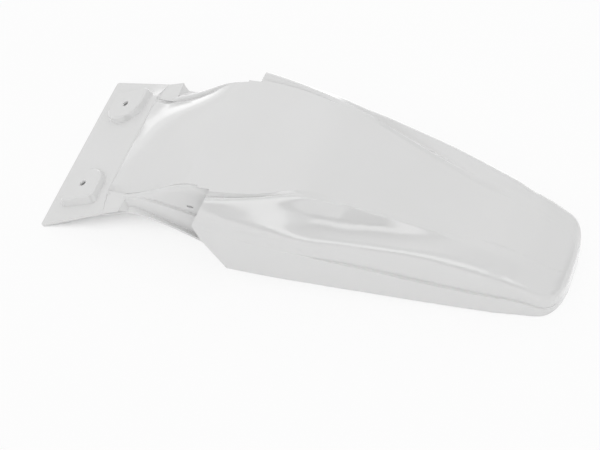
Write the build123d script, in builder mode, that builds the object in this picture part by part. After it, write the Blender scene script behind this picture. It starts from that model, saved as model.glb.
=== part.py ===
from build123d import *
from math import cos, hypot, radians, sin, sqrt, tan
import os

# Motorcycle rear fender, one moulded shell. Millimetres.
# X runs to the tail, Y to the right side, Z up. The origin is midway between the two bolt holes,
# on the seats of their bosses. Heights are counted from the top of the plate's front edge.

# Wall of the moulding
wall = 2.5

# Mounting plate, lengths along its own slope from its front edge
plate_tilt = 30.0
plate_length = 84.5
plate_front_half = 125.5
plate_rear_half = 112.0
plate_flat_half = 84.0
plate_front_droop = 0.4
plate_rear_droop = 8.0
plate_corner = 3.0
bolt_setback = 44.0
bolt_pitch = 139.0
bolt_hole_d = 8.5

# Bolt bosses, round towards the middle and square outwards, raised on the plate and hollow below
boss_height = 7.6
boss_radius = 25.0
boss_outer_reach = 25.0
boss_corner = 6.0
boss_draft = 18.0
boss_edge_bevel = 1.2

# Where the shell with its wings starts, and the tail end, behind the bolt line
shell_x = 158.0
tail_x = 594.5

# Tail end: its plan is fuller at the top of the lip than at the crease and below the floor
tail_round = 34.5
tail_lip = 10.0
top_fullness = 3.0
crease_fullness = 2.6
foot_fullness = 2.0
tail_angles = [0, 25, 45, 60, 71, 78]

# Rounding of the section's corners, as the reach along each side of the corner and its largest share
cove_reach = 14.0
side_share = 0.45

# Gutter between the flat top and the ridge, ledge over the skirt, and the skirt's outward lean
gutter_place = 0.25
ledge_rise = 0.25
skirt_flare = 0.075

# Guide lines of the shell: share of its length from its start to the tail, half width, height
crown_line = [(0, 0, 102), (0.156, 0, 111), (0.293, 0, 118.6), (0.408, 0, 107.5), (0.722, 0, 71),
              (0.797, 0, 67.5), (0.877, 0, 58), (0.958, 0, 43), (1, 0, 33)]
groove_line = [(0, 96.5, 101.5), (0.156, 88, 110.6), (0.293, 70, 118.1), (0.408, 62, 106.9),
               (0.722, 38, 71.4), (0.797, 34, 67), (0.877, 32, 57.2), (0.958, 30, 41.8), (1, 29, 32)]
ridge_line = [(0, 110.5, 101.5), (0.156, 95, 112.3), (0.289, 80, 117), (0.706, 47.4, 73.8),
              (0.797, 44, 66.6), (0.877, 42, 56.2), (0.958, 40, 40.6), (1, 39, 31)]
cove_line = [(0, 114, 99), (0.08, 108.5, 102.5), (0.156, 105, 101.5), (0.235, 98, 100), (0.316, 87, 87),
             (0.454, 77, 81), (0.591, 66, 77.5), (0.706, 54, 74), (0.797, 54, 65.6), (0.877, 53, 54.2),
             (0.958, 51, 38.6), (1, 50, 29)]
shoulder_line = [(0, 119.5, 82), (0.156, 120, 82), (0.27, 118.5, 83), (0.454, 104.5, 82.5),
                 (0.637, 89.5, 76.5), (0.729, 83.5, 67.5), (0.797, 79, 59), (0.877, 73.5, 46.5),
                 (0.958, 69, 34), (1, 67, 27.5)]
crease_line = [(0, 121.5, 63), (0.202, 115, 53.4), (0.463, 101, 41), (0.754, 84, 26),
               (0.877, 75.5, 20.5), (0.921, 71, 15), (1, 69.5, 6)]

# Sizes that change along the shell: share of its length, size
gutter_depth = [(0, 6), (0.12, 5), (0.22, 2.5), (0.3, 0.4), (1, 0.4)]
ledge_width = [(0, 0.2), (0.14, 0.4), (0.3, 2), (0.5, 3.4), (0.75, 3.2), (0.9, 2), (1, 1)]
ridge_reach = [(0, 2.5), (0.12, 5), (0.21, 9), (0.26, 6), (0.31, 2), (0.68, 2), (0.78, 6), (1, 6)]
shoulder_reach = [(0, 14), (0.27, 14), (0.454, 18), (0.637, 25), (0.729, 24), (0.877, 16), (1, 8)]

# Sections of the shell before the tail end, as shares of its length
body_shares = [0, 0.02, 0.048, 0.09, 0.156, 0.225, 0.293, 0.371, 0.454, 0.545, 0.637, 0.706, 0.751,
               0.797, 0.852]

# Saddle between the plate's fold and the shell: share of its length, half width and height of its
# edge, height of its crown. Its first and last sections follow from the plate and the shell.
saddle_sections = [(0.21, 79, 43.5, 66), (0.437, 80, 58.5, 83), (0.639, 82, 77, 92.5),
                   (0.832, 85, 94.5, 98.9), (0.92, 86.6, 99.2, 100.7)]
saddle_front_half = 79.0
saddle_front_rise = 0.3
saddle_top_half = 88.0
saddle_thickening = 1.25

# Tabs of the plate beside the saddle, half width and height at their rear edge
tab_share = 0.21
tab_root = 4.0
tab_sink = 0.3
tab_start = [(80, 0), (84.5, 0), (111.5, -7.5)]
tab_end = [(80, 43.2), (90, 43.7), (110.5, 46.5)]

# Side rails: half width and height of each bend, from the bead beside the saddle over the wall, the ledge
# and the lower wall to the bottom flange. Their root is inside the saddle's edge, with a valley outside it.
# The first section lies across the plate's fold, the next ones at the saddle's sections, the last behind.
rail_root = 4.0
valley_gap = 0.8
valley_sink = 1.3
rail_start = [(75, -1.4), (79.8, -1.1), (82.2, 0.3), (85.8, 0.1), (88, -0.9), (90, -1.9), (92, -2.3),
              (97, -4.2)]
rail_bends = [
    [(82.2, 46), (86.5, 45.3), (88.6, 43.8), (90.2, 43), (92.3, 42.6), (96.3, 38), (105, 37.8)],
    [(83, 62.6), (87.7, 61.5), (90, 58), (90.7, 56.2), (93.2, 55.8), (96.2, 41.5), (104, 42.3)],
    [(84.8, 80.6), (88.8, 78), (90.4, 72.5), (90.9, 56.3), (93.9, 55.8), (97.2, 36), (104, 38.3)],
    [(88, 94.2), (90.6, 90.6), (91.4, 84.5), (91, 53.8), (94, 53.3), (97.8, 30.4), (104.1, 32.8)],
    [(89.3, 97), (91.6, 93.6), (92.2, 86.5), (91, 52.6), (94, 52.1), (98, 27.4), (104.3, 29.8)],
    [(90.3, 98), (92.4, 95), (93, 88), (91, 51.5), (94, 51), (98, 24.4), (104.5, 26.8)],
    [(91, 98.5), (93.2, 95.5), (94, 89), (91, 49.5), (94, 49), (98, 20.2), (104.2, 22.5)],
]
rail_end_share = 1.118
rail_reaches = [0, 3, 3, 0, 0, 0, 0]

# Clip slots through the rails, behind the bolt line
slot_x = 148.0
slot_height = 63.0
slot_length = 8.0
slot_width = 3.4

# Wing front edge in side view: distance behind the shell's start and height, from its top corner down
wing_inner = 91.0
wing_front = [(17.5, 108.7), (2.7, 66.6), (14, 45), (45, 6.6)]

# Reach of the cutting blocks past the part
clear = 60.0

slope = radians(plate_tilt)
plate = Plane((0, 0, 0), x_dir=(cos(slope), 0, sin(slope)), z_dir=(-sin(slope), 0, cos(slope)))
base_z = -bolt_setback * sin(slope) - boss_height * cos(slope)
floor_z = base_z - wall * cos(slope)
block_z = base_z - clear
fold = plate.from_local_coords((plate_length - bolt_setback, 0, -boss_height))
seat = Plane((0, bolt_pitch / 2, 0), x_dir=plate.x_dir, z_dir=plate.z_dir)


def shell_at(share):
    return shell_x + share * (tail_x - shell_x)


def saddle_at(share):
    return fold.X + share * (shell_x - fold.X)


def along(line, x):
    """Half width and height of a guide line at x, by a smooth curve through its points."""
    share = (x - shell_x) / (tail_x - shell_x)
    last = len(line) - 2
    i = max(k for k in range(last + 1) if k == 0 or line[k][0] <= share)
    left, right = line[i], line[i + 1]
    before = line[max(i - 1, 0)]
    after = line[min(i + 2, last + 1)]
    span = right[0] - left[0]
    t = (share - left[0]) / span
    values = []
    for k in (1, 2):
        chord = (right[k] - left[k]) / span
        start = chord if i == 0 else (chord + (left[k] - before[k]) / (left[0] - before[0])) / 2
        end = chord if i == last else (chord + (after[k] - right[k]) / (after[0] - right[0])) / 2
        between = left[k] * (1 + 2 * t) * (1 - t) ** 2 + right[k] * t * t * (3 - 2 * t)
        values.append(between + span * (start * t * (1 - t) ** 2 + end * t * t * (t - 1)))
    return values


def size_at(line, x):
    """A size that changes along the shell, in straight steps between its points."""
    share = (x - shell_x) / (tail_x - shell_x)
    for (start, first), (end, last) in zip(line, line[1:]):
        if share <= end:
            return first + (last - first) * (share - start) / (end - start)


def arc_height(half, edge, crown, y):
    """Height at y of the arc over a section with this half width, edge height and crown height."""
    rise = crown - edge
    radius = (half ** 2 + rise ** 2) / (2 * rise)
    return crown - radius + sqrt(radius ** 2 - y ** 2)


def inset(points, depth):
    """Open outline moved to its inner side by depth, keeping its corners."""
    normals = []
    for (y0, z0), (y1, z1) in zip(points, points[1:]):
        length = hypot(y1 - y0, z1 - z0)
        normals.append(((z1 - z0) / length, (y0 - y1) / length))
    moved = []
    for k, (y, z) in enumerate(points):
        a = normals[max(k - 1, 0)]
        b = normals[min(k, len(normals) - 1)]
        scale = depth / (1 + a[0] * b[0] + a[1] * b[1])
        moved.append((y + scale * (a[0] + b[0]), z + scale * (a[1] + b[1])))
    return moved


def tail_shrink(x, depth, fullness):
    """Share of the half width left at x, on the rounded plan of the tail end."""
    run = max(x - (tail_x - tail_round), 0)
    return (1 - (run / (tail_round - depth)) ** fullness) ** (1 / fullness)


def lip_drop(x, depth):
    """How far the top has fallen at x, on the rounding of the lip."""
    run = max(x - (tail_x - tail_lip), 0)
    return tail_lip - depth - sqrt((tail_lip - depth) ** 2 - run ** 2)


def shell_stations(depth):
    """Stations of the shell's sections, the last ones round the tail end."""
    turn = tail_round - depth
    around = [tail_x - tail_round + turn * sin(radians(angle)) for angle in tail_angles]
    return [shell_at(share) for share in body_shares] + around


def shell_section(x, depth):
    """Crown height and half outline of the shell at x, from the groove to below the floor."""
    top, middle, foot = (tail_shrink(x, depth, k) for k in (top_fullness, crease_fullness, foot_fullness))
    down = lip_drop(x, depth)
    points = []
    for line in (groove_line, ridge_line, cove_line, shoulder_line):
        half, height = along(line, x)
        points.append((half * top, base_z + height - down))
    groove, ridge = points[0], points[1]
    gutter_z = groove[1] + gutter_place * (ridge[1] - groove[1]) - size_at(gutter_depth, x)
    points.insert(1, (groove[0] + gutter_place * (ridge[0] - groove[0]), gutter_z))
    half, height = along(crease_line, x)
    crease_z = base_z + height
    ledge = size_at(ledge_width, x)
    points.append(((half - ledge) * middle, crease_z + ledge_rise * ledge))
    points.append((half * middle, crease_z))
    points.append(((half + skirt_flare * (crease_z - block_z)) * foot, block_z))
    return base_z + along(crown_line, x)[1] - down, points


def rounded(points, reaches):
    """Straight runs with a smooth bend at each inner corner that has a reach, in the sketch being drawn."""
    start = points[0]
    for before, corner, after, reach in zip(points, points[1:], points[2:], reaches):
        ends = []
        for other in (before, after):
            away = Vector(*other) - Vector(*corner)
            step = away * min(reach / away.length, side_share)
            ends.append((corner[0] + step.X, corner[1] + step.Y))
        Line(start, ends[0])
        if reach > 0:
            Bezier(ends[0], corner, ends[1])
        start = ends[1]
    Line(start, points[-1])


def shell_face(x, depth):
    """Closed section of the shell's block at x, depth inside the outer one."""
    crown_z, points = shell_section(x, depth)
    points = inset(points, depth)
    mirrored = [(-y, z) for y, z in points]
    shoulder = size_at(shoulder_reach, x)
    if depth > 0:
        reaches = [0, 0, 0, shoulder, 0, 0]
    else:
        reaches = [0, size_at(ridge_reach, x), cove_reach, shoulder, 0, 0]
    with BuildSketch(Plane.YZ.offset(x)) as section:
        with BuildLine():
            ThreePointArc(mirrored[0], (0, crown_z - depth), points[0])
            rounded(points, reaches)
            Line(points[-1], mirrored[-1])
            rounded(mirrored, reaches)
        make_face()
    return section.sketch


def thin_face(plane, points):
    """Strip one wall thick under an open outline."""
    with BuildSketch(plane) as strip:
        with BuildLine():
            Polyline(points + inset(points, wall)[::-1], close=True)
        make_face()
    return strip.sketch


def rail_face(plane, points):
    """Section of a rail one wall thick, its upper side rounded over the bead."""
    lower = inset(points, wall)
    with BuildSketch(plane) as strip:
        with BuildLine():
            rounded(points, rail_reaches)
            Polyline([points[-1]] + lower[::-1] + [points[0]])
        make_face()
    return strip.sketch


def across_plate(distance):
    """Plane across the plate at a distance from its front edge, the plate's top at its height 0."""
    place = plate.from_local_coords((distance - bolt_setback, 0, -boss_height))
    return Plane(place, x_dir=(0, 1, 0), z_dir=plate.x_dir)


def plate_face(distance, half, droop):
    outline = [(-half, -droop), (-plate_flat_half, 0), (plate_flat_half, 0), (half, -droop)]
    return thin_face(across_plate(distance), outline)


def boss_outline(grow):
    with BuildSketch() as outline:
        Circle(boss_radius + grow)
        with Locations((0, (boss_outer_reach + grow) / 2)):
            Rectangle(2 * (boss_radius + grow), boss_outer_reach + grow)
        fillet(outline.vertices().group_by(Axis.Y)[-1], boss_corner + grow)
    return outline.sketch


# Blocks that cut the wing fronts and the lower edge of the skirts
wing_edge = [(shell_x + x, base_z + height) for x, height in wing_front]
skirt_front = wing_edge[-1]
cut_z = block_z - clear

with BuildPart() as wing_cut:
    with BuildSketch(Plane.XZ.offset(-wing_inner)):
        with BuildLine():
            above = (wing_edge[0][0], wing_edge[0][1] + clear)
            Polyline([above] + wing_edge + [(skirt_front[0], cut_z), (0, cut_z), (0, above[1])], close=True)
        make_face()
    extrude(amount=-clear)
    mirror(about=Plane.XZ)

with BuildPart() as skirt_cut:
    with BuildSketch(Plane.XZ):
        with BuildLine():
            rise = (skirt_front[1] - floor_z) / (tail_x - skirt_front[0])
            level = [(0, floor_z + rise * tail_x), (tail_x, floor_z), (tail_x + clear, floor_z)]
            Polyline(level + [(tail_x + clear, cut_z), (0, cut_z)], close=True)
        make_face()
    extrude(amount=2 * plate_front_half, both=True)

# Saddle sheet, its ends on the plate's fold and on the arc of the shell's first section
top_crown = along(crown_line, shell_x)[1]
saddle_top_edge = arc_height(*along(groove_line, shell_x), top_crown, saddle_top_half)
fold_height = fold.Z - base_z
front_section = (0, saddle_front_half, fold_height, fold_height + saddle_front_rise)
rear_section = (1, saddle_top_half, saddle_top_edge, top_crown)
saddle = [front_section] + saddle_sections + [rear_section]

with BuildPart() as saddle_sheet:
    sheets = []
    for k, (share, half, edge, crown) in enumerate(saddle):
        before, after = saddle[max(k - 1, 0)], saddle[min(k + 1, len(saddle) - 1)]
        climb = (after[3] - before[3]) / (saddle_at(after[0]) - saddle_at(before[0]))
        depth = wall * max(hypot(1, climb), saddle_thickening)
        edge_z, crown_z = base_z + edge, base_z + crown
        with BuildSketch(Plane.YZ.offset(saddle_at(share))) as sheet:
            with BuildLine():
                upper = ThreePointArc((-half, edge_z), (0, crown_z), (half, edge_z))
                lower = ThreePointArc((-half, edge_z - depth), (0, crown_z - depth), (half, edge_z - depth))
                Line(upper @ 0, lower @ 0)
                Line(upper @ 1, lower @ 1)
            make_face()
        sheets.append(sheet.sketch)
    loft(sections=sheets)

with BuildPart() as mounting:
    front_face = plate_face(0, plate_front_half, plate_front_droop)
    rear_face = plate_face(plate_length, plate_rear_half, plate_rear_droop)
    loft(sections=[front_face, rear_face], ruled=True)
    front_edges = mounting.faces().sort_by(Axis.X)[0].edges().sort_by(Axis.Y)
    fillet([front_edges[0], front_edges[-1]], plate_corner)

with BuildPart() as tab:
    root = [(y, height - tab_sink) for y, height in tab_start]
    rear_edge = [(y, base_z + height) for y, height in tab_end]
    root_face = thin_face(across_plate(plate_length - tab_root), root)
    loft(sections=[root_face, thin_face(Plane.YZ.offset(saddle_at(tab_share)), rear_edge)], ruled=True)

with BuildPart() as rail:
    strips = [rail_face(across_plate(plate_length), rail_start + [(plate_rear_half, -plate_rear_droop)])]
    end_x = saddle_at(rail_end_share)
    behind = (rail_end_share, *along(groove_line, end_x), along(crown_line, end_x)[1])
    for (share, half, edge, crown), bends in zip(saddle[1:] + [behind], rail_bends):
        side = min(half, saddle_top_half)
        root_height = arc_height(half, edge, crown, side - rail_root) - saddle_thickening * wall / 2
        valley_height = arc_height(half, edge, crown, side) - valley_sink
        edge_points = [(side - rail_root, root_height), (side + valley_gap, valley_height)]
        section = [(y, base_z + height) for y, height in edge_points + bends]
        strips.append(rail_face(Plane.YZ.offset(saddle_at(share)), section))
    loft(sections=strips)
    with BuildSketch(Plane.XZ.offset(-wing_inner - clear / 2)):
        with Locations((slot_x, base_z + slot_height)):
            SlotOverall(slot_length, slot_width)
    extrude(amount=clear, mode=Mode.SUBTRACT)

with BuildPart() as boss:
    with BuildSketch(seat):
        add(boss_outline(0))
    extrude(amount=-(boss_height + wall), taper=-boss_draft)
    chamfer(boss.faces().sort_by(Axis(seat.origin, seat.z_dir))[-1].edges(), boss_edge_bevel)

with BuildPart() as boss_hollow:
    with BuildSketch(seat.offset(-wall)):
        add(boss_outline(wall * tan(radians(boss_draft)) - wall))
    extrude(amount=-(boss_height + 2 * wall), taper=-boss_draft)

with BuildPart() as rear_fender:
    loft(sections=[shell_face(x, 0) for x in shell_stations(0)])
    loft(sections=[shell_face(x, wall) for x in shell_stations(wall)], mode=Mode.SUBTRACT)
    add(wing_cut.part, mode=Mode.SUBTRACT)
    add(skirt_cut.part, mode=Mode.SUBTRACT)
    add(saddle_sheet.part)
    add(mounting.part)
    add([tab.part, mirror(tab.part, about=Plane.XZ)])
    add([rail.part, mirror(rail.part, about=Plane.XZ)])
    add([boss.part, mirror(boss.part, about=Plane.XZ)])
    add([boss_hollow.part, mirror(boss_hollow.part, about=Plane.XZ)], mode=Mode.SUBTRACT)
    for side in (-1, 1):
        with Locations(Plane((0, side * bolt_pitch / 2, 0), x_dir=plate.x_dir, z_dir=plate.z_dir)):
            Hole(bolt_hole_d / 2)

rear_fender.part.label = "rear_fender"
os.makedirs("parts", exist_ok=True)
export_step(rear_fender.part, "parts/rear_fender.step")
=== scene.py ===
"""Looks of the rear fender: glossy white moulded plastic on a pale floor, seen as in the photograph."""
from math import copysign, cos, pi, radians, sin, sqrt

import bmesh
import bpy
from mathutils import Matrix, Vector


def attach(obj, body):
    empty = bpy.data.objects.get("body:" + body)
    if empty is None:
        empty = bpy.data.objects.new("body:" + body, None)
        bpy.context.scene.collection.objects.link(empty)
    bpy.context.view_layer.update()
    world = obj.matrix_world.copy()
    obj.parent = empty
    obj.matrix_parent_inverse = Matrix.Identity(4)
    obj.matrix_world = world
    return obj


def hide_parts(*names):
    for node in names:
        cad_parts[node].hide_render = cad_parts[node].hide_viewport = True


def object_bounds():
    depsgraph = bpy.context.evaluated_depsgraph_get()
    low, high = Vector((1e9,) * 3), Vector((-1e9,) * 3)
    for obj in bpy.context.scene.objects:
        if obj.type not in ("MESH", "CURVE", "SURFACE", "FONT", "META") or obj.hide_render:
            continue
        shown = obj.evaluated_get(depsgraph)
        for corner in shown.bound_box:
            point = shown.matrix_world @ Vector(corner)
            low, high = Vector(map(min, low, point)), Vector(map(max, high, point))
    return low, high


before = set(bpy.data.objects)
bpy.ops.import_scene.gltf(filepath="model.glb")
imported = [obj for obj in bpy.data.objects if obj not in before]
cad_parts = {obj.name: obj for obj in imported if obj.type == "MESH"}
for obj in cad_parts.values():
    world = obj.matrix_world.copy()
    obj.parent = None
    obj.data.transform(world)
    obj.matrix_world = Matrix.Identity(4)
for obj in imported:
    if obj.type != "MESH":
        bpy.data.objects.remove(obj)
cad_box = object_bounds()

scene = bpy.context.scene
low = Vector(cad_box[0])
high = Vector(cad_box[1])
middle = (low + high) / 2

# Camera, fitted to the photograph
TURN = radians(18.51)
TILT = radians(49.26)
DISTANCE = 2.783
AIM = Vector((0.2758, 0.0, -0.02858))
LENS = 138.0
SENSOR = 36.0
SHIFT = (-0.0295, -0.0215)

# The shape tables are in millimetres, with heights over the base level of the CAD model
MM = 1000.0
BASE = -0.02858

# Saddle behind the plate's fold: x, half width, edge height and crown height of its sections, and how steeply
# the last three leave the fold. Its upper side blends into the CAD mesh beside a hem along its edges.
SADDLE = [(38.86, 79, 42.25, 42.55), (63.88, 79, 43.5, 66), (90.92, 80, 58.5, 83), (114.99, 82, 77, 92.5),
          (137.98, 85, 94.5, 98.9), (148.47, 86.6, 99.2, 100.7), (158, 88, 101.58, 102)]
SADDLE_LEAVES = (0.0, 0.0, 1.1)
SADDLE_HEM = 1.0
SADDLE_BLEND = 8.0
UPPER_SIDE = 0.3  # least upward part of a normal on the upper side
FOLD_REACH = 0.3
FOLD_HALF = 79.5

# Ramp from each tab's rear edge down to the flange behind it: x, half width and height of its rows
RAMP = [[(63.6, 91.5, 43.7), (63.7, 97, 44.4), (63.8, 104, 45.3), (63.8, 110.2, 46.1)],
        [(66.5, 93.5, 42.9), (66.8, 98, 42.7), (67.0, 103, 43.2), (66.6, 107.5, 43.9)],
        [(71.0, 96, 40.2), (72.0, 98, 40.5), (73.0, 101, 40.7), (73.0, 104.4, 40.6)]]
RAMP_WALL = 1.5

# Thin bead along the fold: its radius, how deep it sits, its half length, and the length over which it
# narrows to a share of its radius at the ends
BEAD = 0.8
BEAD_SINK = 0.08
BEAD_HALF = 77.0
BEAD_FADE = 12.0
BEAD_END = 0.1
BEAD_STEPS = 40
BEAD_SIDES = 8

# Flanks before the tail: x and their outward move at a given half width
FLANK = [(500, 0), (506, -0.1), (512, -0.5), (518, -1.1), (524, -1.5), (530, -0.9), (536, 0.8), (542, 1.0),
         (548, 1.2), (554, 0.6), (560, -0.3), (566, -0.9), (572, -0.6), (578, 0)]
FLANK_HALF = 78.0

# Front of the skirt's crease, where it runs out flush: its x span, the x, half width and height of its lip,
# the reach round the lip and the length over which the filling fades
CREASE_SPAN = (158.0, 335.0)
CREASE = ((158.0, 121.5, 63.0), (246.0, 115.0, 53.4), (359.8, 101.0, 41.0))
CREASE_REACH = 4.0
CREASE_FADE = 60.0

# Mesh of the skin, in metres
FINE_EDGE = 0.004
FINER_STEPS = 4
WELD = 1e-6
SHARP = radians(24)

# Plastic: darkest and lightest tone, range of roughness, and the scales of its clouds and its orange peel
TONES = ((0.79, 0.79, 0.785, 1), (0.82, 0.82, 0.82, 1))
GLOSS = (0.13, 0.2)
REFRACTION = 1.49
COAT_ROUGHNESS = 0.08
CLOUD_SCALE, CLOUD_DETAIL = 14.0, 3.0
PEEL_SCALE, PEEL_DETAIL = 420.0, 2.0
PEEL_STRENGTH = 0.12
PEEL_DEPTH = 0.0001

# Light: the dome by height (sine of the elevation) and its panels by direction, level and the angles where
# they fade in
DOME = [(0.0, 1.03), (0.4, 1.04), (0.8, 1.04), (0.92, 0.68), (1.0, 0.58)]
PANELS = [((0.15, -0.68, 0.7), 1.35, (28, 16)), ((-0.2, 0.68, 0.7), 0.14, (45, 25)),
          ((0.1, -0.99, 0.05), -0.95, (32, 18)), ((0.97, 0.2, 0.05), -0.6, (40, 20))]

# Floor: its size and colour, the share of it that shows plain white, and how near the part has to be, and how
# much of the sky it has to hide, for the floor to show its shade
FLOOR_SIZE = 40.0
FLOOR_COLOUR = (0.95, 0.95, 0.95, 1)
FLOOR_GLOW = 0.88
SHADE_REACH = 0.12
SHADE_OPEN = (0.1, 0.5)

# Lamp that lies on the floor behind the part and shines up
LAMP_PLACE = (0.22, 0.35, low.z + 0.002)
LAMP_SIZE = (0.75, 0.4)
LAMP_WATTS = 0.35


def saddle_at(x):
    """Half width, edge height and crown height of the saddle at x, smooth through its sections."""
    k = max(i for i in range(len(SADDLE) - 1) if SADDLE[i][0] <= x)
    left, right = SADDLE[k], SADDLE[k + 1]
    before, after = SADDLE[max(k - 1, 0)], SADDLE[min(k + 2, len(SADDLE) - 1)]
    span = right[0] - left[0]
    t = (x - left[0]) / span
    values = []
    for i in (1, 2, 3):
        start = SADDLE_LEAVES[i - 1] if k == 0 else (right[i] - before[i]) / (right[0] - before[0])
        end = (after[i] - left[i]) / (after[0] - left[0])
        between = left[i] * (1 + 2 * t) * (1 - t) ** 2 + right[i] * t * t * (3 - 2 * t)
        values.append(between + span * (start * t * (1 - t) ** 2 + end * t * t * (t - 1)))
    return values


def saddle_height(x, y):
    """Height of the saddle's upper side, on the arc of its section."""
    half, edge, crown = saddle_at(x)
    rise = crown - edge
    radius = (half ** 2 + rise ** 2) / (2 * rise)
    return crown - radius + sqrt(radius ** 2 - y ** 2)


def on_saddle(v):
    """Whether a vertex is on the saddle's upper side, inside its hem."""
    x, y = v.co.x * MM, abs(v.co.y) * MM
    inside = SADDLE[0][0] < x < SADDLE[-1][0] and y < saddle_at(x)[0] - SADDLE_HEM
    return inside and v.normal.z > UPPER_SIDE


def on_fold(v):
    return abs(v.co.x * MM - SADDLE[0][0]) < FOLD_REACH and abs(v.co.y) * MM < FOLD_HALF


def flank_shift(x):
    """Outward move of the flanks at x, in millimetres."""
    for (x0, move0), (x1, move1) in zip(FLANK, FLANK[1:]):
        if x0 <= x < x1:
            return move0 + (move1 - move0) * (x - x0) / (x1 - x0)
    return 0.0


def crease_fill(point, normal):
    """Outward move, in millimetres, that brings the crease's inner corner out to its lip."""
    x, y, height = point.x * MM, abs(point.y) * MM, (point.z - BASE) * MM
    if not CREASE_SPAN[0] < x < CREASE_SPAN[1] or normal.y * point.y <= 0:
        return 0.0
    (x0, half0, height0), (x1, half1, height1), (x2, half2, _) = CREASE
    slope = (half1 - half0) / (x1 - x0)
    bend = ((half2 - half1) / (x2 - x1) - slope) / (x2 - x0)
    gap = half0 + slope * (x - x0) + bend * (x - x0) * (x - x1) - y
    line = height0 + (height1 - height0) / (x1 - x0) * (x - x0)
    if abs(height - line) > CREASE_REACH or not 0 < gap < CREASE_REACH:
        return 0.0
    return gap * min((CREASE_SPAN[1] - x) / CREASE_FADE, 1)


def in_frame(x, y, height):
    return Vector((x / MM, y / MM, BASE + height / MM))


def closed_strip(work, rings):
    """A closed form through equal rings of points, with both ends capped."""
    rows = [[work.verts.new(point) for point in ring] for ring in rings]
    made = [work.faces.new(rows[0]), work.faces.new(rows[-1])]
    for ring, after in zip(rows, rows[1:]):
        made += [work.faces.new((ring[j], ring[j - 1], after[j - 1], after[j])) for j in range(len(ring))]
    bmesh.ops.recalc_face_normals(work, faces=made)


def ramp_rings(side):
    for column in zip(*RAMP):
        upper = [in_frame(x, side * y, height) for x, y, height in column]
        lower = [in_frame(x, side * y, height - RAMP_WALL) for x, y, height in column]
        yield upper + lower[::-1]


def bead_rings():
    fold_x, fold_half, fold_edge, fold_crown = SADDLE[0]
    turns = [pi * j / BEAD_SIDES for j in range(BEAD_SIDES + 1)]
    for k in range(BEAD_STEPS + 1):
        y = BEAD_HALF * (2 * k / BEAD_STEPS - 1)
        height = fold_edge + (fold_crown - fold_edge) * (1 - (y / fold_half) ** 2) - BEAD_SINK
        radius = BEAD * min(max((BEAD_HALF - abs(y)) / BEAD_FADE, BEAD_END), 1)
        yield [in_frame(fold_x - radius * cos(turn), y, height + radius * sin(turn)) for turn in turns]


def triangles_only(work):
    bmesh.ops.triangulate(work, faces=[f for f in work.faces if len(f.verts) > 3])


def finer_skin(node):
    """The node's mesh as a new piece: finer saddle, crisp fold, closed tab corners, flush crease, even flanks."""
    skin = bpy.data.meshes.new("fender_skin")
    work = bmesh.new()
    work.from_mesh(node.data)
    bmesh.ops.remove_doubles(work, verts=work.verts, dist=WELD)
    for _ in range(FINER_STEPS):
        work.normal_update()
        coarse = [e for e in work.edges if e.calc_length() > FINE_EDGE and all(on_saddle(v) for v in e.verts)]
        bmesh.ops.subdivide_edges(work, edges=coarse, cuts=1)
        triangles_only(work)
    bmesh.ops.dissolve_degenerate(work, dist=WELD, edges=work.edges)
    triangles_only(work)
    work.normal_update()
    for v in work.verts:
        if on_saddle(v):
            x, y = v.co.x * MM, abs(v.co.y) * MM
            share = min((saddle_at(x)[0] - SADDLE_HEM - y) / SADDLE_BLEND, 1)
            aim = BASE + saddle_height(x, y) / MM
            v.co.z += (aim - v.co.z) * share * share * (3 - 2 * share)
        v.co.y *= 1 + flank_shift(v.co.x * MM) / FLANK_HALF
        v.co.y += copysign(crease_fill(v.co, v.normal) / MM, v.co.y)
    closed_strip(work, ramp_rings(-1))
    closed_strip(work, ramp_rings(1))
    closed_strip(work, bead_rings())
    for f in work.faces:
        f.smooth = True
    for e in work.edges:
        e.smooth = e.calc_face_angle(0) < SHARP and not all(on_fold(v) for v in e.verts)
    work.to_mesh(skin)
    work.free()
    made = bpy.data.objects.new("fender_skin", skin)
    scene.collection.objects.link(made)
    weigh = made.modifiers.new("weigh", "WEIGHTED_NORMAL")
    weigh.keep_sharp = True
    return made


def nodes_of(owner):
    """Empty node tree of a material or world."""
    owner.use_nodes = True
    owner.node_tree.nodes.clear()
    return owner.node_tree.nodes, owner.node_tree.links


def noise(nodes, links, place, scale, detail):
    made = nodes.new("ShaderNodeTexNoise")
    made.inputs["Scale"].default_value = scale
    made.inputs["Detail"].default_value = detail
    links.new(place.outputs["Object"], made.inputs["Vector"])
    return made.outputs[0]


def reckon(nodes, links, operation, first, second):
    made = nodes.new("ShaderNodeMath")
    made.operation = operation
    links.new(first, made.inputs[0])
    links.new(second, made.inputs[1])
    return made.outputs[0]


def smooth_rise(nodes, links, value, start, end, top):
    """Smooth rise from 0 where the value is at start to top where it is at end."""
    made = nodes.new("ShaderNodeMapRange")
    made.interpolation_type = "SMOOTHSTEP"
    made.inputs["From Min"].default_value = start
    made.inputs["From Max"].default_value = end
    made.inputs["To Max"].default_value = top
    links.new(value, made.inputs["Value"])
    return made.outputs[0]


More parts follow.
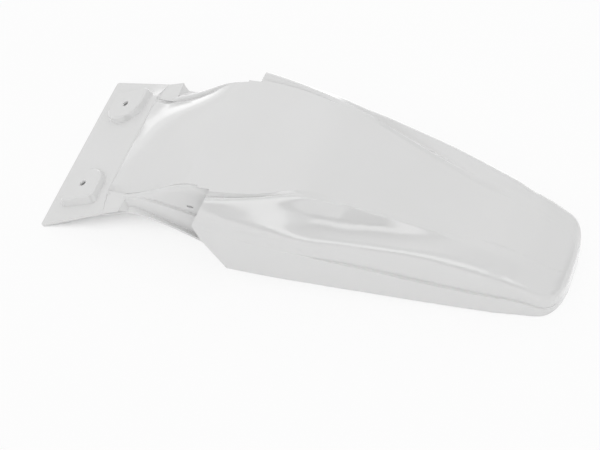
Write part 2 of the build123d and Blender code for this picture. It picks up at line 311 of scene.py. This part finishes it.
def plastic():
    """White moulded plastic: faint clouds in tone and gloss, and a fine orange peel."""
    made = bpy.data.materials.new("white_plastic")
    nodes, links = nodes_of(made)
    out = nodes.new("ShaderNodeOutputMaterial")
    shader = nodes.new("ShaderNodeBsdfPrincipled")
    links.new(shader.outputs[0], out.inputs["Surface"])
    shader.inputs["IOR"].default_value = REFRACTION
    shader.inputs["Coat Weight"].default_value = 1.0
    shader.inputs["Coat Roughness"].default_value = COAT_ROUGHNESS
    place = nodes.new("ShaderNodeTexCoord")
    cloud = noise(nodes, links, place, CLOUD_SCALE, CLOUD_DETAIL)
    tone = nodes.new("ShaderNodeValToRGB")
    for element, colour in zip(tone.color_ramp.elements, TONES):
        element.color = colour
    links.new(cloud, tone.inputs[0])
    links.new(tone.outputs[0], shader.inputs["Base Color"])
    gloss = nodes.new("ShaderNodeMapRange")
    gloss.inputs["To Min"].default_value, gloss.inputs["To Max"].default_value = GLOSS
    links.new(cloud, gloss.inputs["Value"])
    links.new(gloss.outputs[0], shader.inputs["Roughness"])
    peel = nodes.new("ShaderNodeBump")
    peel.inputs["Strength"].default_value = PEEL_STRENGTH
    peel.inputs["Distance"].default_value = PEEL_DEPTH
    links.new(noise(nodes, links, place, PEEL_SCALE, PEEL_DETAIL), peel.inputs["Height"])
    links.new(peel.outputs[0], shader.inputs["Normal"])
    return made


def pale_floor():
    """Plain pale floor: white where it is seen and open, with the part's shade below and beside it."""
    made = bpy.data.materials.new("pale_floor")
    nodes, links = nodes_of(made)
    out = nodes.new("ShaderNodeOutputMaterial")
    rays = nodes.new("ShaderNodeLightPath")
    seen = reckon(nodes, links, "MAXIMUM", rays.outputs["Is Camera Ray"], rays.outputs["Is Glossy Ray"])
    seen = reckon(nodes, links, "MAXIMUM", seen, rays.outputs["Is Transmission Ray"])
    hidden = nodes.new("ShaderNodeAmbientOcclusion")
    hidden.inputs["Distance"].default_value = SHADE_REACH
    open_floor = smooth_rise(nodes, links, hidden.outputs["AO"], *SHADE_OPEN, FLOOR_GLOW)
    pale = nodes.new("ShaderNodeBsdfDiffuse")
    pale.inputs["Color"].default_value = FLOOR_COLOUR
    glow = nodes.new("ShaderNodeEmission")
    mix = nodes.new("ShaderNodeMixShader")
    links.new(reckon(nodes, links, "MULTIPLY", seen, open_floor), mix.inputs[0])
    links.new(pale.outputs[0], mix.inputs[1])
    links.new(glow.outputs[0], mix.inputs[2])
    links.new(mix.outputs[0], out.inputs["Surface"])
    return made


def studio():
    """World of soft light: a dome by height, with lighter and darker panels."""
    made = bpy.data.worlds.new("studio")
    nodes, links = nodes_of(made)
    out = nodes.new("ShaderNodeOutputWorld")
    sky = nodes.new("ShaderNodeBackground")
    place = nodes.new("ShaderNodeTexCoord")
    parts = nodes.new("ShaderNodeSeparateXYZ")
    links.new(place.outputs["Generated"], parts.inputs[0])
    bands = nodes.new("ShaderNodeFloatCurve")
    bands.mapping.use_clip = False
    curve = bands.mapping.curves[0]
    for k, (height, level) in enumerate(DOME):
        point = curve.points[k] if k < 2 else curve.points.new(height, level)  # a new curve has two points
        point.location = (height, level)
        point.handle_type = "VECTOR"
    bands.mapping.update()
    links.new(parts.outputs["Z"], bands.inputs["Value"])
    total = bands.outputs[0]
    for direction, level, (outer, inner) in PANELS:
        facing = nodes.new("ShaderNodeVectorMath")
        facing.operation = "DOT_PRODUCT"
        facing.inputs[1].default_value = Vector(direction).normalized()
        links.new(place.outputs["Generated"], facing.inputs[0])
        panel = smooth_rise(nodes, links, facing.outputs["Value"], cos(radians(outer)), cos(radians(inner)), level)
        total = reckon(nodes, links, "ADD", total, panel)
    links.new(total, sky.inputs["Strength"])
    links.new(sky.outputs[0], out.inputs["Surface"])
    return made


# The fender
piece = finer_skin(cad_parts["rear_fender"])
piece.data.materials.append(plastic())
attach(piece, "root")
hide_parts("rear_fender")

# Floor, world and lamp
bpy.ops.mesh.primitive_plane_add(size=FLOOR_SIZE, location=(middle.x, middle.y, low.z))
floor = bpy.context.object
floor.name = "floor"
floor.data.materials.append(pale_floor())
scene.world = studio()
light = bpy.data.lights.new("low_lamp", "AREA")
light.shape = "RECTANGLE"
light.size, light.size_y = LAMP_SIZE
light.energy = LAMP_WATTS
lamp = bpy.data.objects.new("low_lamp", light)
scene.collection.objects.link(lamp)
lamp.location = LAMP_PLACE
lamp.rotation_euler = Vector((0, 0, 1)).to_track_quat("-Z", "Y").to_euler()
lamp.visible_camera = False

# Camera
right = Vector((cos(TURN), sin(TURN), 0))
back = Vector((sin(TURN) * cos(TILT), -cos(TURN) * cos(TILT), sin(TILT)))
up = back.cross(right)
lens = bpy.data.cameras.new("photo_view")
lens.lens = LENS
lens.sensor_width = SENSOR
lens.shift_x, lens.shift_y = SHIFT
camera = bpy.data.objects.new("photo_view", lens)
scene.collection.objects.link(camera)
turned = Matrix((right, up, back)).transposed().to_4x4()
camera.matrix_world = Matrix.Translation(AIM + DISTANCE * back) @ turned
scene.camera = camera

scene.view_settings.view_transform = "Standard"
